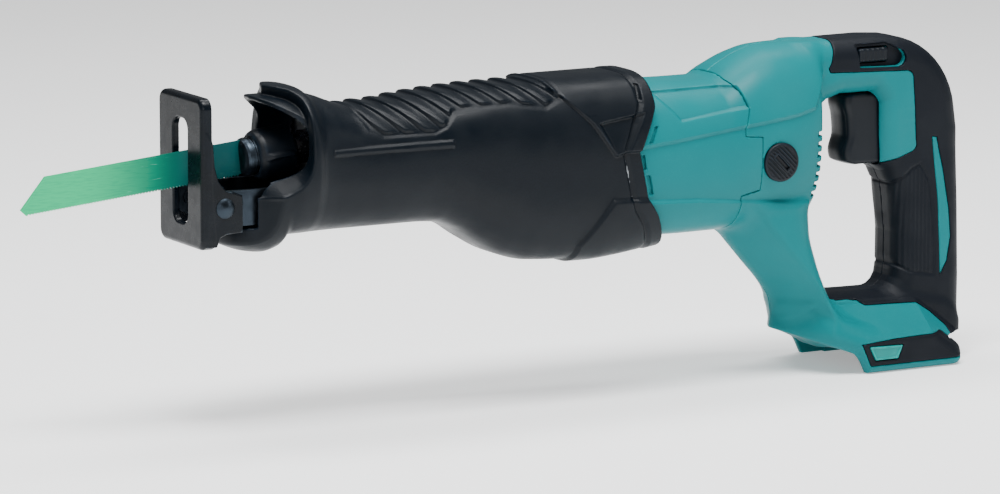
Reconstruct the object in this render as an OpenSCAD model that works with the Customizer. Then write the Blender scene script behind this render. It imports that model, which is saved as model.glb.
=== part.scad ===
// Cordless reciprocating saw, bare tool without its battery.
// Frame: the blade points along -X, the handle is at +X, Z is up, the left side of the tool is -Y.
// The origin is where the spindle axis crosses the working face of the shoe.

/* [Stroke mechanism] */
// Tilt of the spindle, blade end down, in degrees
spindle_tilt = 5.3; // [5:0.1:5.6]
// Travel of the blade from one dead centre to the other
stroke = 32; // [24:1:32]
// Distance from the shoe's face to the crank axis
crank_x = 205; // [204:0.5:206]
// Height of the motor axis
motor_z = -19; // [-19.5:0.5:-18.5]
// Teeth on the bevel pinion
pinion_teeth = 9; // [9:1:10]
// Teeth on the bevel gear
gear_teeth = 54; // [54:6:60]

/* [Blade] */
// Width of the saw blade
blade_w = 19; // [17:0.5:19]
// Thickness of the saw blade
blade_t = 1.2; // [0.9:0.1:1.2]
// Pitch of the saw teeth
tooth_pitch = 1.8; // [1.4:0.2:2.6]

/* [Shoe] */
// Width of the shoe plate
shoe_w = 53; // [50:1:54]
// Height of the shoe plate above the spindle axis
shoe_top = 40.5; // [36:0.5:42]
// Depth of the shoe plate below the spindle axis
shoe_low = 41; // [36:0.5:42]
// Width of the slot that the blade passes through
slot_w = 17.4; // [14:0.2:18]
// How far the shoe can be drawn out of the tool
shoe_travel = 30; // [20:1:30]

/* [Body] */
// Half of the tool's widest point, over the cover of the gear case
body_half_w = 40.5; // [40:0.1:41]
// Half of the handle's width
handle_half_w = 17; // [17:0.5:18]
// Half of the battery base's width
base_half_w = 39.5; // [39:0.5:40]
// Height of the base's underside
base_low = -144.4; // [-145:0.1:-144]

/* [Walls] */
// Wall of the rubber cover
cover_wall = 3; // [2.6:0.1:3]
// Wall of the plastic housings
shell_wall = 2.8; // [2.4:0.1:3]
// Depth of the soft grip layer
grip_depth = 1.8; // [1.4:0.1:2]

/* [Hidden] */
$fn = 48;
fit = 0.05;      // radial clearance of a running fit
gap = 0.3;       // clearance between pieces that only sit side by side
eps = 0.01;
crank_r = stroke / 2;
ring_points = 28;

// ---------------------------------------------------------------- helpers

module rod_x(x0, x1, r) translate([x0, 0, 0]) rotate([0, 90, 0]) cylinder(h = x1 - x0, r = r);
module rod_y(y0, y1, r) translate([0, y0, 0]) rotate([-90, 0, 0]) cylinder(h = y1 - y0, r = r);
module rod_z(z0, z1, r) translate([0, 0, z0]) cylinder(h = z1 - z0, r = r);

module tube_x(x0, x1, outer, inner) difference() {
    rod_x(x0, x1, outer);
    rod_x(x0 - 1, x1 + 1, inner);
}

module tube_z(z0, z1, outer, inner) difference() {
    rod_z(z0, z1, outer);
    rod_z(z0 - 1, z1 + 1, inner);
}

// A box from its lowest corner to its highest one
module block(low, high) translate(low) cube(high - low);

module on_spindle() rotate([0, -spindle_tilt, 0]) children();
module on_motor() translate([0, 0, motor_z]) children();
module on_crank() translate([crank_x, 0, 0]) children();

// Draws on the right side as given, or mirrored on the left where side is negative
module on_side(side) mirror([0, side < 0 ? 1 : 0, 0]) children();
module both_sides() for (side = [-1, 1]) on_side(side) children();

// A side outline, drawn as [x, z], made solid between two planes of constant y
module side_plate(outline, y0, y1)
    translate([0, y1, 0]) rotate([90, 0, 0]) linear_extrude(y1 - y0) polygon(outline);

// A solid from points and faces, with the faces turned to look outward
function reversed(list) = [for (i = [len(list) - 1 : -1 : 0]) list[i]];
function signed_volume(points, faces) = let (v = [for (f = faces, i = [1 : len(f) - 2])
    points[f[0]] * cross(points[f[i]], points[f[i + 1]])]) v * [for (i = v) 1];
module outward(points, faces)
    polyhedron(points, signed_volume(points, faces) > 0 ? [for (f = faces) reversed(f)] : faces);

// A closed solid through rings of equal length; the first and last rings are flat ends
module skin(rings) {
    n = len(rings[0]);
    last = len(rings) - 1;
    sides = [for (i = [0 : last - 1], k = [0 : n - 1]) let (a = i * n + k, b = i * n + (k + 1) % n)
        each [[a, b, b + n], [a, b + n, a + n]]];
    outward([for (ring = rings) each ring],
        concat(sides, [[for (k = [n - 1 : -1 : 0]) k]], [[for (k = [0 : n - 1]) last * n + k]]));
}

function power(v, e) = sign(v) * pow(abs(v), e);

// Stations along X are [x, lowest z, highest z, half width, squareness]
function ring_at(s) = [for (k = [0 : ring_points - 1]) let (a = 360 * k / ring_points)
    [s[0], s[3] * power(cos(a), 2 / s[4]), (s[1] + s[2]) / 2 + (s[2] - s[1]) / 2 * power(sin(a), 2 / s[4])]];
module loft_x(stations) skin([for (s = stations) ring_at(s)]);
function thinner(stations, t) = [for (s = stations) [s[0], s[1] + t, s[2] - t, s[3] - t, s[4]]];
function clip_ends(stations, x0, x1) = [for (i = [0 : len(stations) - 1])
    let (s = stations[i]) [max(x0, min(x1, s[0])), s[1], s[2], s[3], s[4]]];

// An outline moved inward by d along its mitred normals; it runs anticlockwise in [x, z]
function unit(v) = v / norm(v);
function inward(outline, d) = let (n = len(outline)) [for (i = [0 : n - 1]) let (
    here = outline[i],
    before = unit(here - outline[(i + n - 1) % n]),
    after = unit(outline[(i + 1) % n] - here),
    m = [-before[1] - after[1], before[0] + after[0]],
    mitre = m / (1 + before * after))
    here + d * mitre];

// An outline given thickness across the tool, with its edges rounded over r.
// A negative flare makes the cutter of an opening whose rims are rounded.
module pillow(outline, half_w, r, flare = 1, steps = 4) {
    turns = [for (k = [0 : steps]) 90 * k / steps];
    levels = concat([for (i = [steps : -1 : 0]) [-half_w + r - r * sin(turns[i]), r - r * cos(turns[i])]],
        [for (a = turns) [half_w - r + r * sin(a), r - r * cos(a)]]);
    skin([for (l = levels) [for (p = inward(outline, flare * min(l[1], r * 0.999))) [p[0], l[0], p[1]]]]);
}

// ---------------------------------------------------------------- outlines

// Rubber cover over the gear case: barrel, belly and rear rim
cover_stations = [
    [56, -40, 41.5, 38.5, 2.3], [64, -39.6, 39.8, 37.4, 2.4], [72, -38.9, 35.6, 35.4, 2.5],
    [80, -38.7, 33.2, 35, 2.5], [99, -38.7, 29.8, 35, 2.5], [133, -38.7, 31, 35.5, 2.6],
    [146, -39.2, 32, 36.5, 2.7], [164, -48, 32.6, 38, 2.9], [182, -59.5, 33, 39, 3.1],
    [200, -64.5, 33.2, 40, 3.2], [222, -66.4, 33.6, body_half_w, 3.3],
    [262, -66.6, 34.3, body_half_w, 3.3], [285, -63, 33, 39.5, 3.2]];
barrel_start = 4;
barrel_stations = [for (i = [barrel_start : len(cover_stations) - 1]) cover_stations[i]];
cover_end = [290, -60, 30, 36.5, 3.2];

// Chin below the mouth, which the shoe bracket slides into
chin_stations = [[37, -43.5, 24, 33, 2.6], [42, -46.6, 24, 34.5, 2.6],
    [52, -46, 24, 35.5, 2.6], [62, -39.6, 24, 36, 2.6]];

// Rear edge of the cover, seen from the side
cover_edge = [[272, 17.7], [261.5, -6], [267.3, -33], [273.5, -42], [282, -60]];
function in_front_of(edge) = concat([[20, 60]], [[20, -80]], [[284, -80]],
    reversed(edge), [[273, 60]]);
function behind(edge, d) = concat([[273 + d, 60]], [for (p = edge) p + [d, 0]], [[284 + d, -80]],
    [[520, -80]], [[520, 60]]);

motor_stations = [
    [252, -57, 25.5, 35.5, 2.8], [290, -58.4, 27.4, 38, 2.8], [322, -58.8, 27.5, 38, 2.7],
    [331, -58.8, 33.5, 38, 2.6], [345, -58.8, 40.5, 37.6, 2.4], [360, -58.6, 43.3, 36.6, 2.3],
    [380, -56, 43.6, 33, 2.4], [390, -50, 43, 27, 2.6]];

// Neck between motor and base: [z, front x, rear x, half width]
neck_stations = [[-126, 369, 440, 34], [-116, 368, 418, 34.5], [-103, 370, 396, 33.5],
    [-82, 352, 387.5, 32.5], [-62, 335, 383, 32.5], [-40, 322, 384, 32]];
neck_power = 0.72;
module neck(t = 0) skin([for (s = neck_stations) [for (k = [0 : ring_points - 1]) let (
    a = -360 * k / ring_points,
    middle = (s[1] + s[2]) / 2,
    deep = (s[2] - s[1]) / 2 - t)
    [middle + deep * power(cos(a), neck_power), (s[3] - t) * power(sin(a), neck_power), s[0]]]]);

// Points on an arc, as [x, z]
function arc(cx, cz, r, a0, a1, n = 6) = [for (i = [0 : n]) let (a = a0 + (a1 - a0) * i / n)
    [cx + r * cos(a), cz + r * sin(a)]];

handle_outline = concat(
    [[380, 43.2], [372, 20], [374, -20], [378, -100], [400, -128], [486, -128]],
    [[488.4, -117], [488.6, -98], [487.6, -55], [485.8, -12], [482.6, 6]],
    arc(437, -4, 46.5, 20, 80, 7), [[428, 43.2]]);
opening_outline = concat(
    [[372, 8], [372, -70], [384, -99], [396, -102.5], [434, -102.5]],
    arc(434, -92, 10.5, -80, 0, 4),
    [[444.8, -70], [441.5, -42], [437, -33], [431.5, -29.5], [431.5, 8], [427, 12], [384, 12]]);
base_outline = [
    [369, -107], [366.4, -114], [368, -117.5], [397, -128], [405, -131.5], [411, base_low],
    [482, base_low], [488.5, -140], [489.8, -132], [488.4, -121], [474, -111], [440, -104], [400, -103]];

// Parts of the handle's side that the soft grip covers
grip_region = [
    [401, 60], [397.5, 36], [396, 25.5], [446, 24], [450.5, 21], [451.6, 16], [455, -19.5], [450, -23.8],
    [431, -31], [420, -31], [420, -100], [385, -100], [385, -107], [412, -107], [420, -112], [452, -112],
    [470, -124], [500, -124], [500, 60]];
bumper_region = [[407.3, -126.2], [412.2, -139.5], [500, -139.5], [500, -124], [465, -124], [420, -126]];
recess_region = concat([[414.6, 39.3], [416.5, 27.2], [441, 26.2]],
    arc(441.5, 31.5, 5.3, -80, 60, 4), [[434, 40]]);
badge_region = [[410.9, -128.4], [415, -136.8], [430, -136.8], [433.4, -129]];

// Joint between the motor housing and the handle halves, seen from the side
seam_edge = [
    [326.5, 60], [326.5, 27], [331, 21], [333.5, 12], [330.5, 2], [330.5, -3], [341.5, -4], [341.5, -34],
    [329, -36.5], [329.5, -52], [326.5, -58], [320, -90]];

brush_x = 353.5;
cap_r = 11.8;
pivot_x = 13.7;
pivot_z = -18.6;
bracket_half_w = 21;
trigger_face = [
    [414.2, 9.6], [409.6, 10.6], [409.4, 11.4], [430.8, 11.4], [430.8, -29], [421.5, -29.2],
    [417, -27], [416.6, -20], [414.4, -4]];

// Screws that join the handle's halves, as [x, z]
screw_places = [
    [365, 36], [395, 36], [367, -54], [383, -98], [470, 20], [478, -48], [478, -112], [424, -114]];

// ---------------------------------------------------------------- cover and gear case

module mouth() {
    loft_x([[30, -13, 34, 30.5, 2.3], [74, -13, 31.2, 30, 2.3], [81, -11, 29, 27, 2.3]]);
    // pocket that the shoe bracket slides in
    block([30, -bracket_half_w - 1, -32.4], [82, bracket_half_w + 1, -8]);
}

module gear_cover() color("#2b3138") difference() {
    union() {
        loft_x(cover_stations);
        intersection() {
            loft_x(chin_stations);
            block([30, -50, -60], [70, 50, -14.5]);
        }
        visor();
    }
    mouth();
    loft_x(concat([[80.6, -35.6, 30.1, 31.9, 2.5]], thinner(barrel_stations, cover_wall), [cover_end]));
    side_plate(behind(cover_edge, 0), -60, 60);
    shoe_button_hole(4.9, 10);
    // finger grooves across the top grip
    for (i = [0 : 9]) translate([100 + 12 * i, 0, 32.2 + 1.1 * sin(18 * i)]) rotate([0, 0, 24])
        rotate([90, 0, 0]) cylinder(h = 70, r = 1.6, center = true, $fn = 10);
}

// Lip that hangs over the mouth and keeps dust off the clamp
module visor() intersection() {
    difference() {
        loft_x([[42, -36, 37, 35.5, 2.2], [60, -36, 40.5, 36.5, 2.2], [66, -36, 40, 36.5, 2.2]]);
        loft_x([[41, -36, 34.6, 33, 2.2], [60, -36, 34.3, 31, 2.2], [67, -36, 34, 31, 2.2]]);
    }
    side_plate([[42, 30], [44, 45], [66, 45], [66, 5], [60, 10], [56, 24]], -40, 40);
}

module gear_case_solid() intersection() {
    loft_x(concat([[82, -35.4, 29.6, 31.8, 2.5]], thinner(barrel_stations, cover_wall + 0.1)));
    block([60, -60, -80], [261, 60, 60]);
}

module gear_case_cavity() {
    // bores of the slider's two bushes, with a relief between them
    on_spindle() {
        rod_x(70, 91, 13 + fit);
        rod_x(80, 182, 12 + fit);
        rod_x(109, 125, 13.5);
    }
    // room for the shoe bracket and its lock
    block([60, -bracket_half_w - gap, -31.6], [146, bracket_half_w + gap, -9.4]);
    shoe_button_hole(stem_r + fit, 10);
    shoe_button_hole(5 + fit, button_seat);
    // room for the yoke, the bevel gears and the crank's bearings
    intersection() {
        loft_x(thinner(cover_stations, cover_wall + 3));
        union() {
            block([170, -40, -8], [244, 40, 27.4]);
            block([150, -40, 3], [175, 40, 27.4]);
            on_crank() rod_z(-36.6, 10, 34.6);
            block([220, -30, motor_z - 14], [262, 30, 27.4]);
        }
    }
    on_crank() {
        rod_z(-47, -30, 17.5 + fit);
        rod_z(-58, -40, 11 + fit);
    }
    on_motor() rod_x(240, 262, 15);
    for (s = case_screws) translate([s[0], s[1], 0]) {
        rod_z(-24, 20, 2 + fit);
        rod_z(-120, -16, 4);
    }
}

case_split = -8;
case_screws = [[140, 26], [140, -26], [163, 29], [163, -29], [252, 32], [252, -32]];

module gear_case_upper() color("#a9adb0") difference() {
    intersection() {
        gear_case_solid();
        block([60, -60, case_split], [300, 60, 60]);
    }
    gear_case_cavity();
}

module gear_case_lower() color("#a9adb0") difference() {
    intersection() {
        gear_case_solid();
        block([60, -60, -80], [300, 60, case_split]);
    }
    gear_case_cavity();
}

module gear_case_screws() color("#4a4d50") for (s = case_screws) translate([s[0], s[1], 0]) {
    rod_z(-23, 8, 2);
    rod_z(-20.5, -16.1, 3.6);
}

module bearing_plate() color("#8d9296") on_motor() difference() {
    rod_x(261.2, 270, 31);
    rod_x(262.4, 271, 14 + fit);
    rod_x(255, 271, 10.5);
    for (a = [45 : 90 : 315]) rotate([a, 0, 0]) translate([0, 0, 24]) rod_x(255, 275, 4.5);
}

// ---------------------------------------------------------------- crank and bevel gears

gear_module = 1.2;
pinion_r = gear_module * pinion_teeth / 2;
gear_r = gear_module * gear_teeth / 2;
cone_out = norm([pinion_r, gear_r]);
cone_in = cone_out - 7;

// One ring of a bevel gear at cone distance a: four points a tooth, the first tooth centred on angle phase
function bevel_ring(teeth, half_angle, a, phase) = [for (i = [0 : teeth - 1], c = [-2, -1, 1, 2]) let (
    k = a / cone_out,
    h = abs(c) == 2 ? -1.25 * gear_module * k : 0.8 * gear_module * k,
    half_t = 0.78 * PI * gear_module * k / 4 - h * tan(20),
    angle = phase + 360 * i / teeth + sign(c) * half_t / (a * sin(half_angle)) * 180 / PI,
    r = a * sin(half_angle) + h * cos(half_angle))
    [r * cos(angle), r * sin(angle), -a * cos(half_angle) + h * sin(half_angle)]];
function flat_ring(n, r, z, phase) = [for (i = [0 : n - 1])
    let (a = phase + 360 * (i - 1.5) / n) [r * cos(a), r * sin(a), z]];

// Rings joined in both directions, like a tyre
module closed_skin(rings) {
    n = len(rings[0]);
    m = len(rings);
    outward([for (ring = rings) each ring], [for (i = [0 : m - 1], k = [0 : n - 1]) let (
        a = i * n + k,
        b = i * n + (k + 1) % n,
        c = ((i + 1) % m) * n + k,
        d = ((i + 1) % m) * n + (k + 1) % n)
        each [[a, b, d], [a, d, c]]]);
}

module crank_gear() color("#70757a") on_crank() translate([0, 0, motor_z]) {
    n = 4 * gear_teeth;
    half_angle = atan(gear_teeth / pinion_teeth);
    phase = 180 / gear_teeth;
    closed_skin([
        flat_ring(n, cone_in - 3, -14, phase), bevel_ring(gear_teeth, half_angle, cone_in, phase),
        bevel_ring(gear_teeth, half_angle, cone_out, phase), flat_ring(n, gear_r - 1, -14, phase)]);
    difference() {
        rod_z(-16, -3.6, cone_in - 2.6);
        rod_z(-20, 0, 8 + fit);
        translate([0, crank_r, 0]) rod_z(-20, 0, 5 + fit);
        for (a = [0, 180, 270]) rotate([0, 0, a]) translate([15.5, 0, 0]) rod_z(-20, 0, 4.5);
    }
}

module crank_shaft() color("#9ea3a7") on_crank() {
    rod_z(-36.4, -22.6, 8);
    rod_z(-47, -36.4, 8);
    rod_z(-57.4, -47, 6);
}

module ball_bearing_z(z0, z1, outer, inner) {
    wall = (outer - inner) * 0.28;
    tube_z(z0, z1, outer, outer - wall);
    tube_z(z0, z1, inner + wall, inner + fit);
    ring_r = (outer + inner) / 2;
    ball_r = (outer - inner - 2 * wall) / 2 - 0.03;
    for (a = [0 : 45 : 315]) rotate([0, 0, a])
        translate([ring_r, 0, (z0 + z1) / 2]) sphere(r = ball_r, $fn = 24);
}

module ball_bearing_x(x0, x1, outer, inner)
    translate([x0, 0, 0]) rotate([0, 90, 0]) ball_bearing_z(0, x1 - x0, outer, inner);

module crank_bearing_upper() color("#b9bdc0") on_crank() ball_bearing_z(-46.8, -37.4, 17.5, 8);
module crank_bearing_lower() color("#b9bdc0") on_crank() ball_bearing_z(-57, -49.5, 11, 6);

// The pin stops under the yoke, which sinks towards it on the forward stroke
pin_top = 10.1;
module crank_pin() color("#a8adb1") on_crank() translate([0, crank_r, 0]) rod_z(-33, pin_top, 5);
module crank_roller() color("#c2c6c9") on_crank()
    translate([0, crank_r, 0]) tube_z(-21.4, pin_top - 0.2, 6, 5 + fit);

// ---------------------------------------------------------------- slider and blade clamp

yoke_chamfer = 7.4;

// Yoke: a crosswise slot that the crank roller drives
module yoke() on_crank() difference() {
    side_plate([[-14, 12.2], [12, 12.2], [12, 22.6], [-14, 21.4]], -24, 24);
    block([-6.6, -22.4, 5], [6.6, 22.4, 30]);
    // top corners cut back, so that they clear the case as the slider climbs toward the rear
    both_sides() translate([0, 25.4, 23.6]) rotate([45, 0, 0]) cube([60, yoke_chamfer, yoke_chamfer], center = true);
}

module slider() color("#8a8f94") {
    on_spindle() difference() {
        union() {
            rod_x(66.4, 165, 9);
            block([160, -9, -4.6], [193, 9, 5.4]);
        }
        // lightening bore from the front
        rod_x(60, 150, 3.5);
    }
    yoke();
}

module slider_bush_front() color("#b08d57") on_spindle() tube_x(92, 108, 12, 9 + fit);
module slider_bush_rear() color("#b08d57") on_spindle() tube_x(126, 144, 12, 9 + fit);
module slider_seal() color("#26282b") on_spindle() {
    tube_x(86, 91, 13, 11);
    tube_x(87, 89.6, 11, 9 + fit);
}

tang_w = 12.6;
pin_u = 52;
blade_front = -94.4;
shoulder_u = 42;

function tooth_edge(u0, u1) = let (n = floor((u1 - u0) / tooth_pitch)) [
    for (i = [0 : n - 1]) let (u = u0 + i * tooth_pitch)
        each [[u, -blade_w / 2], [u + tooth_pitch * 0.7, -blade_w / 2 + tooth_pitch * 0.55]]];

module blade() color("#2fd6ae") on_spindle() difference() {
    half_w = blade_w / 2;
    half_tang = tang_w / 2;
    side_plate(concat(
        [[blade_front + 15.7, half_w], [blade_front, -half_w + 3.4], [blade_front + 3.1, -half_w]],
        tooth_edge(blade_front + 3.4, 36),
        [[36.5, -half_w + 1], [shoulder_u - 1, -half_w + 1], [shoulder_u, -half_tang], [60, -half_tang]],
        [[60, half_tang], [shoulder_u, half_tang], [shoulder_u - 3, half_w]]), -blade_t / 2, blade_t / 2);
    translate([pin_u, 0, 0]) rod_y(-2, 2, 2.2);
}

clamp_r = 10.5;
module clamp_body() color("#33383e") on_spindle() difference() {
    rotate([0, 90, 0]) rotate_extrude() polygon(concat([[0, 35], [6.4, 35]],
        [for (a = [80 : -20 : 0]) [clamp_r - 4.1 + 4.1 * cos(a), 39.1 - 4.1 * sin(a)]],
        [[clamp_r, 64], [9, 64], [9, 66.3], [0, 66.3]]));
    block([30, -blade_t / 2 - fit, -9.8], [shoulder_u + 0.6, blade_t / 2 + fit, 9.8]);
    block([30, -blade_t / 2 - fit, -tang_w / 2 - 0.2], [60.4, blade_t / 2 + fit, tang_w / 2 + 0.2]);
    translate([pin_u, 0, 0]) rod_y(-3, 12, 2 + fit);
    // groove of the retaining ring
    tube_x(40.4, 41.6, 12, 9.6);
}

module clamp_sleeve() color("#2a2e33") on_spindle() difference() {
    union() {
        rod_x(42, 63.5, 13.2);
        rod_x(42, 45, 13.6);
        // finger ribs that turn the sleeve
        for (a = [0, 120, 240]) rotate([a, 0, 0]) block([44, -17.2, -2.4], [62, -10, 2.4]);
    }
    rod_x(41, 71, clamp_r + 0.2);
    rod_x(pin_u - 3, pin_u + 3, 12.4);
    rod_x(56, 62.6, 12.2);
}

module clamp_pin() color("#b4b8bb") on_spindle() translate([pin_u, 0, 0]) rod_y(-0.9, 10.3, 2);

// A spring's turns, drawn as rings side by side along X
module turns_x(x0, pitch, count, coil_r, wire_r) for (i = [0 : count - 1])
    translate([x0 + pitch * i, 0, 0]) rotate([0, 90, 0]) rotate_extrude()
        translate([coil_r, 0]) circle(r = wire_r, $fn = 12);
module turns_y(y0, pitch, count, coil_r, wire_r) rotate([0, 0, 90]) turns_x(y0, pitch, count, coil_r, wire_r);

module clamp_spring() color("#7d8286") on_spindle() turns_x(56.9, 1.5, 4, 11.4, 0.6);

module clamp_ring() color("#7d8286") on_spindle() difference() {
    tube_x(40.5, 41.5, 11.8, 9.7);
    block([40, -2, -14], [42, 2, -5]);
}

// ---------------------------------------------------------------- shoe

module shoe() color("#23272c") difference() {
    union() {
        side = shoe_w / 2;
        cut = 4;
        corners = [
            [side - cut, -shoe_low], [side, -shoe_low + cut], [side, shoe_top - cut], [side - cut, shoe_top]];
        plate = concat(corners, [for (c = reversed(corners)) [-c[0], c[1]]]);
        rotate([90, 0, 90]) linear_extrude(4.4) polygon(plate);
        both_sides() {
            // rolled edge behind the plate's side
            block([4, side - 4, -shoe_low + cut], [6.6, side, shoe_top - cut]);
            // lug that carries the pivot
            side_plate(concat([[4, 20], [4, -36], [8.4, -36], [11.6, -31.4]],
                arc(pivot_x, pivot_z, 8.6, -55, 25, 5), [[14.6, -8], [11, 0], [8, 12]]), side - 4.6, side);
        }
    }
    for (end = [-1, 1]) translate([0, 0, end > 0 ? 19 : -20]) rod_x(-1, 5, slot_w / 2);
    block([-1, -slot_w / 2, -20], [5, slot_w / 2, 19]);
    translate([pivot_x, 0, pivot_z]) rod_y(-40, 40, 3 + fit);
}

module shoe_rivets() color("#5b6066") both_sides() translate([pivot_x, 0, pivot_z]) {
    rod_y(17.6, shoe_w / 2 + 0.4, 3);
    translate([0, shoe_w / 2 + 0.05, 0]) intersection() {
        translate([0, -7, 0]) sphere(r = 9, $fn = 48);
        rod_y(0, 3, 5.4);
    }
}

// Channel that carries the shoe and slides into the gear case
module shoe_bracket() color("#2c3036") {
    inner = bracket_half_w - 2.5;
    rear = 142;
    top = -10.6;
    bottom = -29.8;
    slot_r = stem_r + 0.4;
    outline = concat(arc(pivot_x, pivot_z, 8.4, 240, 90, 8),
        [[26, top], [rear, top], [rear, bottom], [16, bottom]]);
    both_sides() difference() {
        side_plate(outline, inner, bracket_half_w);
        translate([pivot_x, 0, pivot_z]) rod_y(0, 40, 3 + fit);
        // long hole that the lock button's stem runs in
        for (x = [button_x, button_x + shoe_travel]) translate([x, 0, button_z]) rod_y(0, 40, slot_r);
        block([button_x, 0, button_z - slot_r], [button_x + shoe_travel, 40, button_z + slot_r]);
    }
    block([16, -inner - eps, bottom], [rear, inner + eps, bottom + 2.4]);
}

// The lock button runs across the gear case, on the right side
button_x = 104.5;
button_z = -16;
button_seat = 23.5;
button_flange = 27.4;
stem_r = 3;
module at_button() translate([button_x, 0, button_z]) children();
module shoe_button_hole(r, y0) at_button() rod_y(y0, 60, r);

module shoe_button() color("#3a3f45") at_button() {
    rod_y(button_flange, 29, 5);
    rod_y(29, 36.2, 4.6);
}
module shoe_button_stem() color("#9ea3a7") at_button() rod_y(15.6, button_flange, stem_r);

module shoe_button_spring() color("#8b9095") at_button() turns_y(button_seat + 0.6, 1.2, 3, 4.1, 0.5);

// ---------------------------------------------------------------- motor

module armature_shaft() color("#a3a8ac") on_motor() {
    rod_x(240.2, 262, 4);
    rod_x(262, 271, 6);
    rod_x(271, 368, 5);
    rod_x(368, 376.6, 4);
}

module bevel_pinion() color("#7a7f84") on_motor() on_crank() {
    half_angle = atan(pinion_teeth / gear_teeth);
    n = 4 * pinion_teeth;
    rotate([0, -90, 0]) skin([
        flat_ring(n, 2, -cone_in * cos(half_angle) + 0.2, 180),
        bevel_ring(pinion_teeth, half_angle, cone_in, 180),
        bevel_ring(pinion_teeth, half_angle, cone_out, 180),
        flat_ring(n, 3.2, -cone_out * cos(half_angle) - 1.4, 180)]);
    difference() {
        rod_x(33.4, 50, 6.2);
        rod_x(35, 51, 4 + fit);
    }
}

module armature_core() color("#5a5f64") on_motor() difference() {
    rod_x(296, 336, 20.4);
    rod_x(295, 337, 5 + fit);
    for (a = [0 : 30 : 330]) rotate([a, 0, 0]) block([295, -1.1, 13], [337, 1.1, 22]);
}

module armature_windings() color("#b5652b") on_motor() {
    for (x = [289, 336.2]) difference() {
        rod_x(x, x + 6.8, 17.5);
        rod_x(x - 1, x + 8, 6.4);
    }
    for (a = [0 : 30 : 330]) rotate([a, 0, 0]) block([295, -1, 13.2], [337, 1, 17]);
}

module commutator() color("#c07a3e") on_motor() difference() {
    tube_x(346, 361, 11.4, 5 + fit);
    for (a = [0 : 15 : 345]) rotate([a, 0, 0]) block([347, -0.25, 10.2], [362, 0.25, 12]);
}

module fan() color("#1f2326") on_motor() {
    tube_x(273, 285.6, 8, 5 + fit);
    tube_x(284, 285.6, 27, 7);
    for (a = [0 : 30 : 330]) rotate([a, 0, 0]) block([275, -0.8, 7.4], [284.5, 0.8, 26.4]);
}

module motor_bearing_front() color("#b9bdc0") on_motor() ball_bearing_x(262.6, 270.4, 14, 6);
module motor_bearing_rear() color("#b9bdc0") on_motor() ball_bearing_x(369, 376, 11, 4);

module motor_yoke() color("#6e7378") on_motor() difference() {
    tube_x(291, 342, 30, 27);
    for (side = [-1, 1]) translate([0, 0, side * 29.4]) rod_x(290, 343, 2.2);
}

// Each magnet fills this angle either side of its middle
magnet_half_angle = 33;
module magnet_sector() let (reach = 40, side = reach * sin(magnet_half_angle))
    translate([290, 0, 0]) rotate([90, 0, 90]) linear_extrude(55)
        polygon([[0, 0], [side, reach], [-side, reach]]);
module field_magnets() color("#3c4044") on_motor()
    for (a = [45 : 90 : 315]) rotate([a, 0, 0]) intersection() {
        tube_x(295, 338, 26.95, 21.2);
        magnet_sector();
    }

module at_brushes() translate([brush_x, 0, motor_z]) children();

module brush_holders() color("#a58a4a") at_brushes() both_sides() difference() {
    block([-5.2, 14, -5.2], [5.2, 31.8, 5.2]);
    block([-4.1, 10, -4.1], [4.1, 40, 4.1]);
}

module carbon_brushes() color("#202326") at_brushes() both_sides() difference() {
    block([-4, 10.4, -4], [4, 23, 4]);
    rod_x(-10, 10, 11.4 + fit);
}

module brush_springs() color("#8b9095") at_brushes() both_sides() turns_y(23.9, 2.1, 4, 2.8, 0.6);

module brush_cap(side) color("#24282c") at_brushes() on_side(side) difference() {
    union() {
        rod_y(32, 36.2, 7.6);
        rod_y(36.2, 38.4, cap_r);
    }
    block([-7.6, 37.2, -0.9], [7.6, 40, 0.9]);
}
module brush_cap_left() brush_cap(-1);
module brush_cap_right() brush_cap(1);

// ---------------------------------------------------------------- housings

module body_solid() {
    loft_x(motor_stations);
    neck();
    difference() {
        pillow(handle_outline, handle_half_w, 10);
        pillow(opening_outline, handle_half_w + 1, 7, -1);
    }
    pillow(base_outline, base_half_w, 5);
}

module body_cavity() {
    loft_x(clip_ends(thinner(motor_stations, shell_wall), 240, 381));
    difference() {
        neck(shell_wall + 1);
        block([300, -60, -130], [500, 60, -112]);
    }
    difference() {
        pillow(inward(handle_outline, shell_wall + grip_depth), handle_half_w - shell_wall - grip_depth, 7);
        pillow(inward(opening_outline, -shell_wall - grip_depth), handle_half_w, 7, -1);
        block([300, -60, -160], [500, 60, -112]);
    }
    // rear bearing seat reaches into the handle
    on_motor() rod_x(368, 377, 11 + fit);
}

// Room under the base for the battery's slide, open to the rear
module battery_bay() {
    block([418, -33, base_low - 1], [500, 33, -129]);
}

module base_rails() both_sides() block([424, 29.6, base_low], [484, 33.4, base_low + 3.2]);

module at_lock() translate([426.5, 0, 33.6]) children();

module side_cuts() {
    // front vents
    both_sides() {
        side_plate([[268.4, -2], [270.4, -2], [274.8, 7], [272.8, 7]], 30, 45);
        side_plate([[265, -16.5], [267, -16.5], [265.8, -8], [263.8, -8]], 30, 45);
        side_plate([[269.4, -31], [271.4, -31], [268.9, -19.5], [266.9, -19.5]], 30, 45);
        // rear vents on the corner behind the motor
        for (i = [0 : 6]) block([381, 15, -6 - 5.6 * i], [400, 40, -3.2 - 5.6 * i]);
    }
    // brush caps
    at_brushes() {
        rod_y(-60, 60, 8);
        both_sides() rod_y(35.9, 60, cap_r + gap);
    }
    // slot of the trigger, and the way of the lock bar
    block([408, -11.6, -30.4], [440, 11.6, 11.9]);
    at_lock() block([-10.2, -30, -4.5], [10.2, 30, 4.5]);
    both_sides() side_plate(recess_region, 13.4, 30);
}

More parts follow.
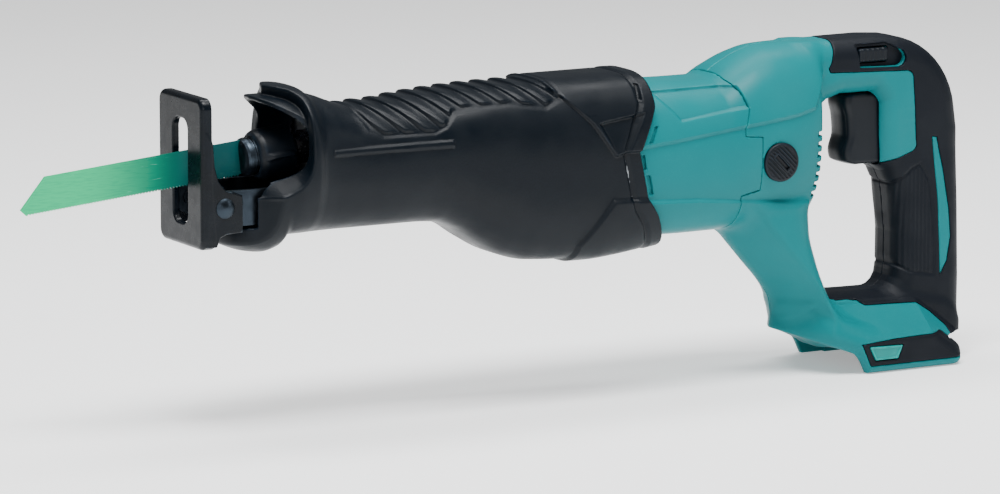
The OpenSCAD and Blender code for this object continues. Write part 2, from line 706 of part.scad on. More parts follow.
// Soft layer of the left side
module grip_layer() {
    intersection() {
        difference() {
            pillow(handle_outline, handle_half_w, 10);
            pillow(inward(handle_outline, grip_depth), handle_half_w - grip_depth, 8.4);
            pillow(opening_outline, handle_half_w + 1, 7, -1);
            loft_x(motor_stations);
            neck();
            pillow(base_outline, base_half_w, 5);
            side_cuts();
        }
        side_plate(grip_region, -30, 0);
    }
    // bumper band round the base
    on_side(-1) difference() {
        side_plate(bumper_region, base_half_w - 1.2, base_half_w + 1);
        side_plate(badge_region, base_half_w - 3, base_half_w + 3);
        block([480, 0, -160], [510, 60, -100]);
    }
}

module grip_left() color("#252b34") grip_layer();
module grip_right() color("#252b34") on_side(-1) grip_layer();

module badge(side) color("#1f9c97") on_side(side)
    side_plate(inward(badge_region, 0.15), base_half_w - 1.1, base_half_w + 0.8);
module badge_left() badge(-1);
module badge_right() badge(1);

module at_screws() for (p = screw_places) translate([p[0], 0, p[1]]) children();

module body_shell() {
    difference() {
        body_solid();
        difference() {
            body_cavity();
            at_screws() rod_y(-40, 40, 4);
            // bridge that seats the motor's rear bearing
            difference() {
                block([366, -40, -51.6], [379, 40, 12]);
                on_motor() rod_x(360, 368.8, 9);
                on_motor() rod_x(368, 380, 11 + fit);
            }
        }
        battery_bay();
        side_cuts();
        at_screws() rod_y(-10.6, 10.6, 1.6);
        // room for the terminal block and the leads that rise from it
        block([423, -23, -135], [453, 23, -126]);
        block([418.7, -12.3, -127], [446.3, 12.3, -120.7]);
        block([427, -5.4, -122], [464.4, 5.4, -105]);
    }
    intersection() {
        base_rails();
        body_solid();
    }
}

module motor_housing() color("#1fa09b") difference() {
    intersection() {
        loft_x(motor_stations);
        side_plate(behind(cover_edge, 0.4), -60, 60);
        side_plate(concat([[200, 60]], [[200, -90]], reversed(seam_edge)), -60, 60);
    }
    loft_x(clip_ends(thinner(motor_stations, shell_wall), 240, 381));
    side_cuts();
}

// The halves of the handle mirror each other across y = 0
module handle_half() difference() {
    body_shell();
    side_plate(concat([[200, 60]], [[200, -90]], [for (p = reversed(seam_edge)) p + [gap, 0]]), -60, 60);
    block([100, 0, -200], [600, 100, 100]);
    grip_layer();
    badge(-1);
}

module handle_left() color("#1fa09b") handle_half();
module handle_right() color("#1fa09b") on_side(-1) handle_half();

module housing_screws() color("#55595d") at_screws() rod_y(-10, 9.6, 1.55);

// ---------------------------------------------------------------- switch, trigger and electrics

module trigger() color("#2a2f38") {
    side_plate(trigger_face, -11, 11);
    block([430.7, -6, -20], [436, 6, 4]);
}

module trigger_spring() color("#8b9095") translate([0, 0, -8]) turns_x(437, 1.3, 4, 3, 0.5);

module switch_unit() color("#34383c") {
    difference() {
        block([443, -10, -26], [468, 10, 6]);
        translate([0, 0, -8]) rod_x(440, 446, 4);
    }
    block([447, -7, 6], [464, 7, 12]);
}

module lock_bar() color("#23272d") at_lock() {
    ends = [[-9.6, -3.9], [9.6, -3.9], [9.6, 2.4], [7.6, 3.9], [-9.6, 3.9]];
    for (y = [-16.4, 8.4]) side_plate(ends, y, y + 5);
    block([-5, -12, -3], [5, 9, 3]);
}

module terminal_block() color("#202326") difference() {
    union() {
        block([423.2, -22.6, -134.8], [452.6, 22.6, -126.4]);
        block([419, -12, -126.4], [446, 12, -121]);
    }
    for (y = [-15, 15]) block([431, y - 2.6, -140], [460, y + 2.6, -130]);
}

module terminal_contacts() color("#c8a24a") {
    for (y = [-15, 15]) block([432, y - 0.5, -134.4], [450, y + 0.5, -130]);
}

// A lead of round section through a row of points, with its bends mitred
module lead(points, r) {
    last = len(points) - 1;
    skin([for (i = [0 : last]) let (
        here = points[i],
        d1 = unit(here - points[max(i - 1, 0)] + (i == 0 ? points[1] - here : [0, 0, 0])),
        d2 = unit(points[min(i + 1, last)] - here + (i == last ? here - points[last - 1] : [0, 0, 0])),
        m = unit(d1 + d2),
        stretch = 1 / (d1 * m),
        across = unit(cross(m, [0, 1, 0])),
        other = cross(m, across),
        lean = abs(d1 * across) > abs(d1 * other))
        [for (k = [0 : 9]) let (
            a = -36 * k,
            c = r * cos(a) * (lean ? stretch : 1),
            d = r * sin(a) * (lean ? 1 : stretch))
            here + across * c + other * d]]);
}

lead_r = 1.2;
module motor_leads() color("#b03a2e") {
    for (y = [-3, 3]) {
        lead([[430, y, -118.6], [440, y, -108.6], [460, y, -108], [462, y, -60], [458, y, -27.4]], lead_r);
        lead([[455, y, 13.2], [450, y, 24], [414, y, 24], [392, y, 22], [366, y, 18],
            [brush_x, y * 6.5, -3], [brush_x, y * 6.5, -12.4]], lead_r);
    }
}

module controller() color("#2f5d43") {
    block([376, -18, -100], [377.6, 18, -78]);
    block([377.6, -12, -93.4], [381.4, 12, -80]);
}

// ---------------------------------------------------------------- nodes

gear_cover();
motor_housing();
handle_left();
handle_right();
grip_left();
grip_right();
badge_left();
badge_right();
gear_case_upper();
gear_case_lower();
bearing_plate();
gear_case_screws();
housing_screws();
crank_gear();
crank_shaft();
crank_bearing_upper();
crank_bearing_lower();
crank_pin();
crank_roller();
slider();
slider_bush_front();
slider_bush_rear();
slider_seal();
blade();
clamp_body();
clamp_sleeve();
clamp_pin();
clamp_spring();
clamp_ring();
shoe();
shoe_bracket();
shoe_rivets();
shoe_button();
shoe_button_stem();
shoe_button_spring();
armature_shaft();
bevel_pinion();
armature_core();
armature_windings();
commutator();
fan();
motor_bearing_front();
motor_bearing_rear();
motor_yoke();
field_magnets();
brush_holders();
carbon_brushes();
brush_springs();
brush_cap_left();
brush_cap_right();
trigger();
trigger_spring();
switch_unit();
lock_bar();
terminal_block();
terminal_contacts();
motor_leads();
controller();
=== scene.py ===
"""Looks of the cordless reciprocating saw: moulded shells, rubber cover, shoe and materials.

Lengths in this file are millimetres unless a name ends in _m; meshes are made in metres.
The blade points along -X, the handle is at +X and Z is up. The camera looks at the left side (-Y).
"""

import math

import bpy
import numpy as np
from mathutils import Matrix, Vector


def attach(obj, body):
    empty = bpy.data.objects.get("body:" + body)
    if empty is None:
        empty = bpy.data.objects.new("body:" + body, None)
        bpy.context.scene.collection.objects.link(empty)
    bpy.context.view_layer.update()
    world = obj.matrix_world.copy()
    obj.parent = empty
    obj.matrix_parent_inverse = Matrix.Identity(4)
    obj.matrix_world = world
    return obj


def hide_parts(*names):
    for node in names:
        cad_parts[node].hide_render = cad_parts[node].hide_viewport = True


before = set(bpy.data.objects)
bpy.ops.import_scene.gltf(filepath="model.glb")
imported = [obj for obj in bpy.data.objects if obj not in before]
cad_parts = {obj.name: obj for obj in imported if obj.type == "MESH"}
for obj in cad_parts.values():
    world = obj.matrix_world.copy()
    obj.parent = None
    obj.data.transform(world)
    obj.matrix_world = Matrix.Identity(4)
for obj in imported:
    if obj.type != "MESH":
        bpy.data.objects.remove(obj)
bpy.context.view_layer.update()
MM = 0.001
DETAIL = 0.85          # lattice pitch of the big shells
FINE = 0.45            # lattice pitch of the small pieces
KEPT_FACES = 0.45                             # share of the lattice's faces that thinning keeps
SLOPE_STEP = 0.1                              # reach of the slope that moves points onto the surface
NORMAL_STEP = 0.25                            # reach of the slope that shades the surface
EDGE_STEP = 1.2                               # reach of the bend that marks edges and corners


# ---------------------------------------------------------------- distance fields

def smooth_min(a, b, k):
    """Smaller of two distances, blended where they differ by less than k."""
    h = np.clip(0.5 + 0.5 * (b - a) / k, 0, 1)
    return b + (a - b) * h - k * h * (1 - h)


def smooth_max(a, b, k):
    return -smooth_min(-a, -b, k)


def step(v, low, high):
    """0 below low, 1 above high, smooth between."""
    t = np.clip((v - low) / (high - low), 0, 1)
    return t * t * (3 - 2 * t)


def curve(x, *points):
    """Monotone cubic through (x, value) points."""
    px = np.array([p[0] for p in points], float)
    py = np.array([p[1] for p in points], float)
    h = np.diff(px)
    d = np.diff(py) / h
    m = np.zeros(len(px))
    m[0], m[-1] = d[0], d[-1]
    same = d[:-1] * d[1:] > 0
    m[1:-1][same] = 2 * d[:-1][same] * d[1:][same] / (d[:-1] + d[1:])[same]
    i = np.clip(np.searchsorted(px, x) - 1, 0, len(px) - 2)
    t = np.clip((x - px[i]) / h[i], 0, 1)
    return ((1 + 2 * t) * (1 - t) ** 2 * py[i] + t * (1 - t) ** 2 * h[i] * m[i]
            + t * t * (3 - 2 * t) * py[i + 1] + t * t * (t - 1) * h[i] * m[i + 1])


def loft(x, y, z, stations):
    """Superellipse sections along X. A station is (x, lowest z, highest z, half width, squareness)."""
    low, high, half, power = (curve(x, *[(s[0], s[k]) for s in stations]) for k in (1, 2, 3, 4))
    tall = (high - low) / 2
    u = np.abs(y) / half + 1e-6
    v = np.abs(z - (low + high) / 2) / tall + 1e-6
    un, vn = u ** (power - 1), v ** (power - 1)
    g = (un * u + vn * v) ** (1 / power)
    slope = g ** (1 - power) * np.sqrt((un / half) ** 2 + (vn / tall) ** 2)
    return (g - 1) / slope


def polygon(u, v, points):
    """Signed distance to a closed outline."""
    best, inside = None, None
    n = len(points)
    for k in range(n):
        (ax, ay), (bx, by) = points[k], points[(k + 1) % n]
        ex, ey = bx - ax, by - ay
        px, py = u - ax, v - ay
        t = np.clip((px * ex + py * ey) / (ex * ex + ey * ey), 0, 1)
        d = (px - ex * t) ** 2 + (py - ey * t) ** 2
        best = d if best is None else np.minimum(best, d)
        cross = ((ay > v) != (by > v)) & (u < ex * (v - ay) / (ey if ey else 1e-9) + ax)
        inside = cross if inside is None else inside ^ cross
    return np.sqrt(best) * np.where(inside, -1.0, 1.0)


def box(x, y, z, low, high, r=0.0):
    """Distance to a box with edges rounded by r."""
    c = [(a + b) / 2 for a, b in zip(low, high)]
    h = [(b - a) / 2 - r for a, b in zip(low, high)]
    q = [np.abs(v - m) - k for v, m, k in zip((x, y, z), c, h)]
    out = np.sqrt(sum(np.maximum(v, 0) ** 2 for v in q))
    return out + np.minimum(np.maximum(np.maximum(q[0], q[1]), q[2]), 0) - r


def round_both(d, e, r):
    """Where two distances are both below zero, with the edge between them rounded over r."""
    p, q = d + r, e + r
    return np.minimum(np.maximum(p, q), 0) + np.sqrt(np.maximum(p, 0) ** 2 + np.maximum(q, 0) ** 2) - r


def arc(cx, cz, r, a0, a1, n):
    """Points along an arc, with its angles in degrees."""
    return [(cx + r * math.cos(math.radians(a0 + (a1 - a0) * i / n)),
             cz + r * math.sin(math.radians(a0 + (a1 - a0) * i / n))) for i in range(n + 1)]


# ---------------------------------------------------------------- fields to meshes

CORNERS = [(i, j, k) for i in (0, 1) for j in (0, 1) for k in (0, 1)]
CELL_EDGES = [(a, b) for a in range(8) for b in range(a + 1, 8)
              if sum(p != q for p, q in zip(CORNERS[a], CORNERS[b])) == 1]


def lattice(field, low, high, pitch):
    """Surface net of a field's zero level, then each point is moved onto that level."""
    axes = [np.arange(a, b + pitch, pitch) for a, b in zip(low, high)]
    x, y, z = axes[0][:, None, None], axes[1][None, :, None], axes[2][None, None, :]
    f = np.broadcast_to(field(x, y, z), [len(a) for a in axes]).astype(np.float32)
    inside = f < 0
    n = [s - 1 for s in f.shape]
    part = [inside[i:i + n[0], j:j + n[1], k:k + n[2]] for i, j, k in CORNERS]
    some, every = part[0].copy(), part[0].copy()
    for p in part[1:]:
        some |= p
        every &= p
    cells = np.argwhere(some & ~every)
    index = -np.ones(n, np.int64)
    index[tuple(cells.T)] = np.arange(len(cells))
    value = np.stack([f[cells[:, 0] + i, cells[:, 1] + j, cells[:, 2] + k] for i, j, k in CORNERS], 1)
    place = np.zeros((len(cells), 3))
    count = np.zeros(len(cells))
    for a, b in CELL_EDGES:
        fa, fb = value[:, a], value[:, b]
        hit = (fa < 0) != (fb < 0)
        t = np.where(hit, fa / np.where(hit, fa - fb, 1), 0)
        pa, pb = np.array(CORNERS[a]), np.array(CORNERS[b])
        place += np.where(hit[:, None], pa + t[:, None] * (pb - pa), 0)
        count += hit
    points = (cells + place / count[:, None]) * pitch + np.array([a[0] for a in axes])
    quads = []
    for axis in range(3):
        u, v = (axis + 1) % 3, (axis + 2) % 3
        lo = [slice(1, None)] * 3
        lo[axis] = slice(None, -1)
        hi = [slice(1, None)] * 3
        a = inside[tuple(lo)]
        b = inside[tuple(hi)]
        where = np.argwhere(a != b)
        base = where + 1
        base[:, axis] -= 1
        ok = (base[:, u] < n[u]) & (base[:, v] < n[v]) & (base[:, axis] < n[axis])
        base, where = base[ok], where[ok]
        ring = []
        for du, dv in ((-1, -1), (0, -1), (0, 0), (-1, 0)):
            cell = base.copy()
            cell[:, u] += du
            cell[:, v] += dv
            ring.append(index[tuple(cell.T)])
        ring = np.stack(ring, 1)
        out = a[tuple(where.T)]
        ring[~out] = ring[~out][:, ::-1]
        quads.append(ring)
    quads = np.concatenate(quads)
    return settle(field, points, pitch), quads


def gradient(field, p, h):
    """Slope of a field at points, from differences over h."""
    x, y, z = p.T
    return np.stack([field(x + h, y, z) - field(x - h, y, z), field(x, y + h, z) - field(x, y - h, z),
                     field(x, y, z + h) - field(x, y, z - h)], 1) / (2 * h)


def settle(field, points, pitch, rounds=2):
    """Moves points along the field's slope onto its zero level."""
    p = points.copy()
    for _ in range(rounds):
        g = gradient(field, p, SLOPE_STEP)
        f = field(*p.T)
        move = -f[:, None] * g / np.maximum((g * g).sum(1), 0.25)[:, None]
        size = np.linalg.norm(move, axis=1)
        p += move * np.minimum(1, 0.5 * pitch / np.maximum(size, 1e-9))[:, None]
    return p


def made(name, points, faces, body, material, replaces):
    """A mesh piece that rides on a body and stands for CAD nodes."""
    mesh = bpy.data.meshes.new(name)
    mesh.from_pydata((np.asarray(points) * MM).tolist(), [], [list(map(int, f)) for f in faces])
    piece = bpy.data.objects.new(name, mesh)
    bpy.context.scene.collection.objects.link(piece)
    mesh.materials.append(material)
    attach(piece, body)
    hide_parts(*replaces)
    return piece


def moulded(name, field, low, high, body, material, replaces, pitch=DETAIL):
    """A solid from a field, thinned where it is flat and shaded by the field's slope, its edges marked."""
    points, quads = lattice(field, low, high, pitch)
    piece = made(name, points, quads, body, material, replaces)
    thin = piece.modifiers.new("thin", "DECIMATE")
    thin.ratio = KEPT_FACES
    bpy.context.view_layer.update()
    now = bpy.context.evaluated_depsgraph_get()
    mesh = bpy.data.meshes.new_from_object(piece.evaluated_get(now))
    piece.modifiers.clear()
    full, piece.data = piece.data, mesh
    bpy.data.meshes.remove(full)
    p = np.empty(len(mesh.vertices) * 3)
    mesh.vertices.foreach_get("co", p)
    p = settle(field, p.reshape(-1, 3) / MM, 0.4, 1)
    mesh.vertices.foreach_set("co", (p * MM).ravel())
    g = gradient(field, p, NORMAL_STEP)
    g /= np.maximum(np.linalg.norm(g, axis=1), 1e-6)[:, None]
    sides = [s * np.eye(3)[k] for k in range(3) for s in (-1, 1)]
    # bend is above zero on outer edges, which plastic rubs lighter, and below zero in creases and corners,
    # which plastic darkens as painted shade
    bend = sum(field(*(p + EDGE_STEP * side).T) for side in sides) / EDGE_STEP
    edge = mesh.attributes.new("edge", "FLOAT", "POINT")
    edge.data.foreach_set("value", np.clip(bend, -1.5, 3).astype(np.float32))
    mesh.polygons.foreach_set("use_smooth", [True] * len(mesh.polygons))
    mesh.normals_split_custom_set_from_vertices(g.tolist())
    mesh.update()
    return piece


# ---------------------------------------------------------------- shape of the body

COVER = [  # rubber cover: barrel, belly and rear
    (30, -36, 40.5, 33.0, 2.8), (40, -38, 41.6, 35.6, 2.8), (48, -38.8, 42.0, 37.4, 2.75),
    (56, -38.8, 42.2, 38.6, 2.75), (64, -38.8, 40.8, 38.2, 2.7), (71, -38.8, 36.8, 35.8, 2.6),
    (79, -38.8, 34.2, 35, 2.5), (86, -38.7, 31.4, 34.8, 2.5), (96, -38.7, 28.6, 34.8, 2.5),
    (112, -38.7, 28.6, 35, 2.55), (133, -38.7, 30.6, 35.5, 2.6), (146, -39.4, 31.6, 36.4, 2.7),
    (158, -43.6, 32.2, 37.2, 2.85), (172, -52.5, 32.8, 38, 3), (186, -60.2, 33, 38.2, 3.1),
    (202, -64.8, 33.2, 38.3, 3.1), (222, -66, 33.2, 38.3, 3.2), (240, -66.2, 33.2, 38.2, 3.2),
    (256, -65, 33.2, 38.1, 3.2), (272, -63, 33, 38, 3.2), (288, -60.8, 30, 37.6, 3.1)]
REAR_EDGE = [(272.6, 27), (272.4, 20), (272, 17.7), (261.5, -6), (267.3, -33), (273.5, -42), (282, -60),
             (284, -68)]
BEHIND_COVER = [(273, 60), (272.8, 32)] + REAR_EDGE + [(284, -90), (540, -90), (540, 60)]
MOUTH = [(10, -13, 34.2, 31.4, 2.3), (60, -13, 34, 31, 2.3), (74, -13, 31.2, 29.6, 2.3),
         (81, -11, 28.6, 26.4, 2.3)]
BOWL = [  # scoop under the mouth
    (16, -38, 20, 27, 2.4), (24, -43, 22, 31, 2.4), (34, -46.4, 24, 33.6, 2.5), (42, -47.4, 24, 34.6, 2.5),
    (48, -46.0, 24, 34.6, 2.5), (53, -41, 24, 33, 2.5), (57, -34, 24, 30, 2.5)]
RIM = [(-90, 12), (-60, 30), (-42, 38), (-35, 43.6), (-31, 49), (-25, 55), (-16, 59.4), (-4, 61),
       (20, 61.4), (42, 60.4), (58, 57), (73, 52), (90, 48.6)]
GRIP_AREA = [(92, 60), (95, 26), (99, 17.5), (106, 13.4), (137, 13.2), (144, 16), (150, 22.5), (158, 24.2),
             (184, 24.6), (206, 21.5), (217, 26), (212, 60)]
UPPER_PANEL = [(206, 60), (211.5, 31), (232, 11.6), (245.8, -7.4), (254, -5.6), (275, -6), (300, 30),
               (300, 60)]
LOWER_PANEL = [(226, -56), (245, -31.4), (300, -34), (300, -80), (226, -80)]

MOTOR = [  # round motor housing and the hump over its rear end
    (250, -57, 25.5, 36, 2.8), (285, -58.4, 27.9, 38, 2.8), (305, -58.8, 27.6, 38.2, 2.75),
    (321, -58.8, 27.6, 38.2, 2.7), (332, -58.8, 33.4, 38.2, 2.55), (345, -58.8, 39.6, 37.8, 2.4),
    (358, -58.4, 42.9, 36.8, 2.3), (374, -56, 43.5, 34, 2.35), (386, -52, 43.3, 29.5, 2.6),
    (393, -47, 43, 24, 2.8)]
NECK = [  # between the motor and the base: height, front, rear, half width
    (-132, 374, 440, 34), (-121, 370.4, 428, 34.8), (-112, 371.6, 404, 34.4), (-103, 368.4, 396, 33.6),
    (-92, 361, 391, 33), (-80, 350.5, 387.4, 32.6), (-62, 335, 384, 32.4), (-45, 322, 384, 32)]
HANDLE = ([(380, 43.3), (360, 10), (360, -60), (374, -112), (396, -132), (486, -132), (488.6, -117),
           (488.8, -98), (487.8, -55), (486, -12),
           (482.8, 6)] + arc(437, -4, 46.7, 20, 82, 8) + [(428, 43.3)])
OPENING = ([(408, 12), (398.6, 9), (391.8, 3.4), (388, -4), (386.4, -12), (372, -14), (372, -70),
            (388, -99.8), (400, -102.2), (434, -102.4)] + arc(434, -92, 10.4, -80, 0, 4)
           + [(444.6, -70), (441.4, -42), (437.6, -34), (431.4, -29.4), (431.2, 6), (427, 12)])
BASE = [(371, -107), (369.4, -114), (370.4, -118.4), (397, -128), (405, -131.5), (411, -144.1), (482, -144.1),
        (488.4, -140), (489.7, -132), (488.4, -122), (474, -113), (452, -108), (420, -106), (400, -104)]

SOFT_AREA = ([(401.5, 70), (400.4, 41.5), (399.4, 37), (397.6, 31), (396, 28), (397, 25.6), (424, 24.6),
              (446, 23.8)]
             + arc(447, 19, 4.8, 80, -10, 4) + [(454.6, -17)] + arc(450.6, -19, 4.4, 0, -70, 4)
             + [(444, -26), (432, -29.2), (424, -34), (420, -60), (408, -90), (397, -95.6),
                (404.4, -98.3), (411, -102.4), (419.9, -108.6), (453.5, -109.6), (463, -115.6),
                (473.4, -124.6), (475, -131), (520, -131), (520, 70)])
STRIP = [(465.4, -15.4), (468.4, -16), (473, -34), (477.4, -58), (478.8, -74), (476.4, -88), (472, -95.6),
         (471.4, -80), (470, -52)]
FLOOR = [(391, -97.4), (424, -97), (424, -110), (391, -107)]
BUMPER = [(406.6, -127), (412.2, -139.8), (470, -139.8), (500, -137), (500, -124), (474, -124.4),
          (458, -124.8), (430, -125.4)]
BADGE = [(410.9, -128.4), (415, -136.8), (430, -136.8), (433.4, -129)]
RECESS = ([(414.6, 39.6), (416.6, 27.2), (441, 26.4)] + arc(441.5, 31.5, 5.2, -80, 50, 5) + [(434.5, 40)])
GRIP_PANEL = [(439.6, -42), (444, -40), (452, -33), (458, -30.6), (464, -40), (467, -60), (468, -80),
              (467.6, -95), (452, -92.4), (445, -88.6), (441.6, -82), (440.6, -70)]
SEAM = [(326.5, 70), (326.5, 27), (331, 21), (333.5, 12), (330.5, 2), (330.5, -3), (341.5, -4),
        (341.5, -34), (329, -36.5), (329.5, -52), (326.5, -58), (320, -160), (520, -160), (520, 70)]
UPPER_LINE = [(262, -4.6), (330, 2.6), (366, 6.3), (379, 8.8), (388, 24), (420, 24), (420, 90), (262, 90)]
LOWER_LINE = [(262, -34.5), (300, -36.3), (366, -43.4), (380, -44.8), (380, -90), (262, -90)]
FACET = [(277, 24), (289.5, 8.6), (333.5, 13.4), (330, 24)]
CAP = (353.5, -19.0)                          # middle of the brush cap, and its radius
CAP_R = 11.0
BUTTON = (104.5, -16)                         # middle of the shoe's lock button, and its hole's radius
BUTTON_HOLE_R = 4.9
PIVOT = (13.7, -18.6)                         # axis of the shoe's rivets, and its hole's radius
PIVOT_HOLE_R = 3.1
SPINDLE = (math.cos(math.radians(5.3)), math.sin(math.radians(5.3)))
WALL = 2.8                                    # hard shell
LAYER = 2.2                                   # soft skin over it
TOP = 43.5                                    # highest point of the hump and the handle
PROUD = 1.5                                   # step at the motor's character lines
PANEL_PROUD = 1.9                             # step at the cover's rear panels
VENT_PITCH = 5.75
VENT_TOP = 3.6                                # how far below the axis the comb starts
VENT_BACK = 1.2                               # shell left behind each vent
SEAM_GAP = 0.12                               # room on each side of a seam between shells
HALF_GAP = 0.06                               # room on each side of the seam down the middle
RECESS_FLOOR = 13.6                           # how far out the floor of the lock bar's recess lies


def bow(x, y, z):
    """The front of the neck and base narrows to a blunt bow, with a ridge down each side."""
    front = curve(z, *[(s[0], s[1]) for s in NECK])
    return (np.abs(y) - 3 - 1.5 * (x - front)) / 1.8


def neck(x, y, z):
    """Solid between the motor and the base."""
    front, rear, half = (curve(z, *[(s[0], s[k]) for s in NECK]) for k in (1, 2, 3))
    deep = (rear - front) / 2
    power = 2.8
    u = np.abs(x - (front + rear) / 2) / deep + 1e-6
    v = np.abs(y) / half + 1e-6
    un, vn = u ** (power - 1), v ** (power - 1)
    g = (un * u + vn * v) ** (1 / power)
    f = (g - 1) / (g ** (1 - power) * np.sqrt((un / deep) ** 2 + (vn / half) ** 2))
    f = smooth_max(smooth_max(f, bow(x, y, z), 2.5), z + 44, 4)
    return smooth_max(f, -(z + 117.8 + 0.357 * (x - 366.6)) / 1.062, 1.5)


def body(x, y, z):
    """Outer surface of the motor housing, the neck, the handle and the base together."""
    a = np.abs(y)
    motor = smooth_max(smooth_max(loft(x, y, z, MOTOR), x - 389.4, 6), 250 - x, 1)
    # the upper and lower character lines: what lies outside them stands proud
    panel = PROUD * step(-polygon(x, z, UPPER_LINE), -1.3, 1.3)
    panel = panel + PROUD * step(-polygon(x, z, LOWER_LINE), -1.3, 1.3)
    motor = motor + PROUD - panel
    # flats on the shoulder
    motor = smooth_max(motor, (a * 0.62 + (z - 24.6) * 0.785) - 17.6 - 26 * step(x, 318, 352), 1.2)
    motor = motor + 1.3 * step(-polygon(x, z, FACET), -0.9, 0.9) * step(a, 12, 20)
    ring = polygon(x, z, HANDLE)
    ring = smooth_max(ring, -polygon(x, z, OPENING), 2)
    handle = round_both(ring, a - 17.2 - 1.6 * step(z, -30, 10) * step(x, 380, 440), 11.5)
    plan = np.sqrt(np.maximum(x - 471.7, 0) ** 2 + np.maximum(a - 21.3, 0) ** 2) - 18
    plan = smooth_max(plan, (x + 0.554 * a - 494.3) / 1.143, 3)
    wide = curve(x, (366, 31), (388, 33), (398, 36), (409, 39.3))
    base = round_both(polygon(x, z, BASE), np.maximum(a - wide, plan), 4)
    # its top falls away from the handle's foot to the rim and to the rear
    fall = (z + 108 + 0.8 * np.maximum(a - 19, 0) + 0.75 * np.maximum(x - 454, 0)) / 1.3
    base = smooth_max(base, np.minimum(fall, np.minimum(a - 17.6, x - 380)), 3)
    base = smooth_max(base, bow(x, y, z), 2.5)
    f = smooth_min(motor, neck(x, y, z), 7)
    f = smooth_min(f, base, 6)
    return smooth_max(smooth_min(f, handle, 6), z - TOP, 0.6)


def vents(x, y, z):
    """Comb behind the motor and the three slots beside the cover's edge."""
    a = np.abs(y)
    row = (z + VENT_TOP) / -VENT_PITCH
    k = np.clip(np.round(row - 0.5), 0, 6)
    comb = round_both(np.abs(z + VENT_TOP + (k + 0.5) * VENT_PITCH) - 1.35, np.maximum(381.5 - x, 3 - a), 0.5)
    comb = np.maximum(np.maximum(comb, a - 36), x - 402)
    slots = None
    for outline in ([(268.2, -2), (270.2, -2), (274.6, 7), (272.6, 7)],
                    [(265.0, -16.5), (267.2, -16.5), (266.0, -8.4), (263.8, -8.4)],
                    [(269.6, -31), (271.8, -31), (269.3, -19.8), (267.1, -19.8)]):
        d = polygon(x, z, outline)
        slots = d if slots is None else np.minimum(slots, d)
    return np.minimum(comb, np.maximum(slots, 25 - a))


def bay(x, y, z):
    """Room under the base for the battery's slide, narrower between the rear corners."""
    rear = box(x, y, z, (418, -33, -150), (505, 33, -129))
    room = np.minimum(rear, box(x, y, z, (380, -33, -160), (422, 33, -132)))
    return np.maximum(room, np.abs(y) - curve(x, (466, 33.2), (473, 29.2)))


def trigger_gap(x, y, z):
    """Pocket that the trigger slides in."""
    return box(x, y, z, (405, -11.7, -29.9), (440, 11.7, 11.8), 3)


def lock_gap(x, y, z):
    """Tunnel across the handle for the lock bar."""
    return box(x, y, z, (416.3, -30, 29.1), (436.7, 30, 38.1), 1.2)


def teal(x, y, z):
    """Hard shell: full outside the soft areas, set back under them."""
    a = np.abs(y)
    whole = body(x, y, z)
    f = np.minimum(smooth_max(whole, -soft_area(x, y, z), 0.7), whole + LAYER + 0.05)
    recess = round_both(polygon(x, z, RECESS), RECESS_FLOOR - a, 1.2)
    f = smooth_max(f, -recess, 0.8)
    f = np.maximum(f, -(whole + WALL + LAYER * step(x, 396, 400) + 1.4 * step(-z, 42, 56)))
    f = smooth_max(f, -np.maximum(vents(x, y, z), -(whole + WALL - VENT_BACK)), 0.6)
    cap = np.sqrt((x - CAP[0]) ** 2 + (z - CAP[1]) ** 2)
    f = smooth_max(f, -np.maximum(cap - CAP_R - 0.5, 35.6 - a), 0.5)
    f = np.maximum(f, -np.maximum(cap - 8, 30 - a))
    f = smooth_max(f, -trigger_gap(x, y, z), 1.0)
    f = np.maximum(f, -lock_gap(x, y, z))
    f = smooth_max(f, -np.minimum(bay(x, y, z), box(x, y, z, (423, -23, -135), (453, 23, -124))), 0.6)
    rails = box(x, a, z, (424, 29.6, -144.0), (472, 34, -141.2), 0.6)
    return np.minimum(f, rails)


def motor_front(x, y, z):
    """The hard shell in front of the seam."""
    return smooth_max(teal(x, y, z), SEAM_GAP - polygon(x, z, SEAM), 0.5)


def handle_half(side):
    """One half of the rear housing; side is -1 on the left and 1 on the right."""
    def field(x, y, z):
        behind = smooth_max(teal(x, y, z), polygon(x, z, SEAM) + SEAM_GAP, 0.5)
        return smooth_max(behind, HALF_GAP - side * y, 0.5)
    return field


def grip_half(side):
    """One half of the soft skin."""
    def field(x, y, z):
        return smooth_max(soft(x, y, z), HALF_GAP - side * y, 0.5)
    return field


def soft_area(x, y, z):
    """Where the skin is soft, seen from the side."""
    a = np.abs(y)
    soft = polygon(x, z, SOFT_AREA)
    soft = np.minimum(soft, np.maximum(polygon(x, z, BUMPER), 30 - a))
    soft = np.minimum(soft, np.maximum(polygon(x, z, FLOOR), a - 16.5))
    soft = smooth_max(soft, -polygon(x, z, STRIP), 0.4)
    soft = np.maximum(soft, -np.maximum(polygon(x, z, RECESS), 11 - a))
    return np.maximum(soft, -np.maximum(polygon(x, z, BADGE), 30 - a))


def soft(x, y, z):
    """Soft skin over the hard shell, with the ribbed panel of the grip."""
    a = np.abs(y)
    f = body(x, y, z)
    panel = polygon(x, z, GRIP_PANEL)
    groove = np.exp(-(panel / 0.9) ** 2)
    ribs = 0.16 * np.sin(x * 2 * math.pi / 2.6) * step(-panel, 0.4, 1.6)
    outer = f - 0.25 + 0.75 * groove + (0.35 + ribs) * step(-panel, -0.4, 0.8)
    outer = smooth_max(outer, soft_area(x, y, z) + SEAM_GAP, 0.8)
    outer = np.maximum(outer, -(f + LAYER))
    outer = smooth_max(outer, -trigger_gap(x, y, z), 1.0)
    # floor of the recess round the lock bar
    lining = round_both(polygon(x, z, RECESS) - 0.8, np.abs(a - 13.2) - 0.8, 0.3)
    outer = np.minimum(outer, np.maximum(lining, -lock_gap(x, y, z)))
    return np.maximum(outer, -bay(x, y, z))


def mouth_shape(x, y, z):
    """Room inside the cover's mouth."""
    return loft(x, y, z, MOUTH)


